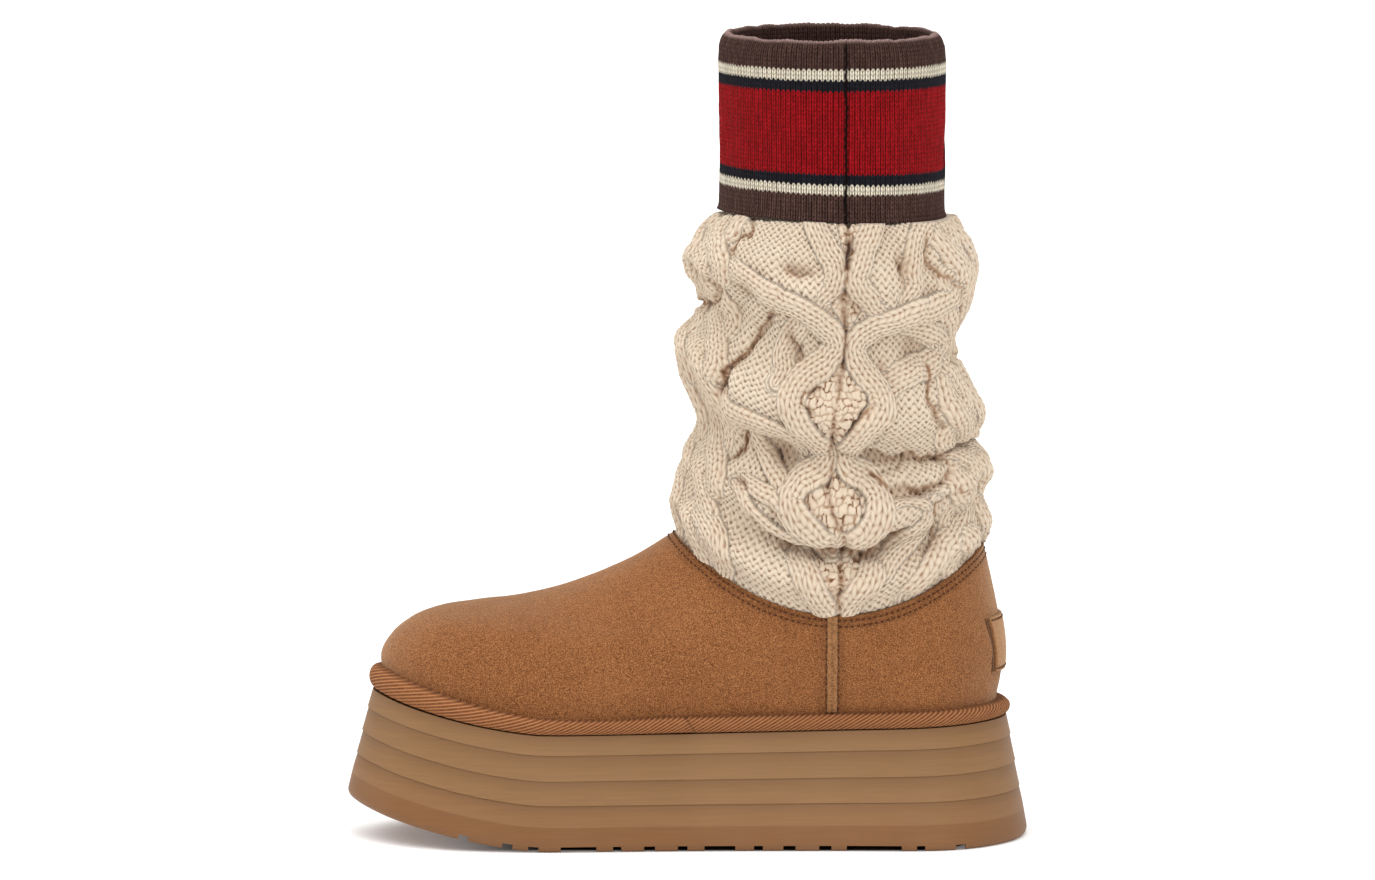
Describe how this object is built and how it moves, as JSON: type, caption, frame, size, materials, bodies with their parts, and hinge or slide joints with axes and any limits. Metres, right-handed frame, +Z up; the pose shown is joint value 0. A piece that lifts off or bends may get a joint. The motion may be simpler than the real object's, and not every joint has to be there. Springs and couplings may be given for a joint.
{
  "type": "platform boot",
  "caption": "Mid-calf boot with a suede foot on a stepped, flared platform sole, a slouched cable-knit shaft and a striped rib-knit cuff; hollow from the cuff to the toe.",
  "frame": {"origin": "on the ground under the middle of the sole's length and width", "axes": "+X towards the heel, -X towards the toe, -Y the medial side, +Z up"},
  "size_m": [0.2715, 0.1108, 0.321],
  "materials": {
    "suede": "matte nap",
    "seam_suede": "matte nap",
    "twill_tape": "matte twill",
    "platform_foam": "satin moulded foam",
    "outsole_rubber": "satin rubber",
    "fleece": "fleece",
    "cream_knit": "chunky cable knit",
    "rib_knit": "rib knit with stripes"
  },
  "bodies": {
    "root": {"outsole": "outsole_rubber", "midsole": "platform_foam", "insole": "fleece", "binding_tape": "twill_tape", "upper": "suede", "side_seam_medial": "seam_suede", "side_seam_lateral": "seam_suede", "heel_label": "seam_suede", "knit_shaft": "cream_knit", "striped_cuff": "rib_knit"}
  },
  "joints": []
}
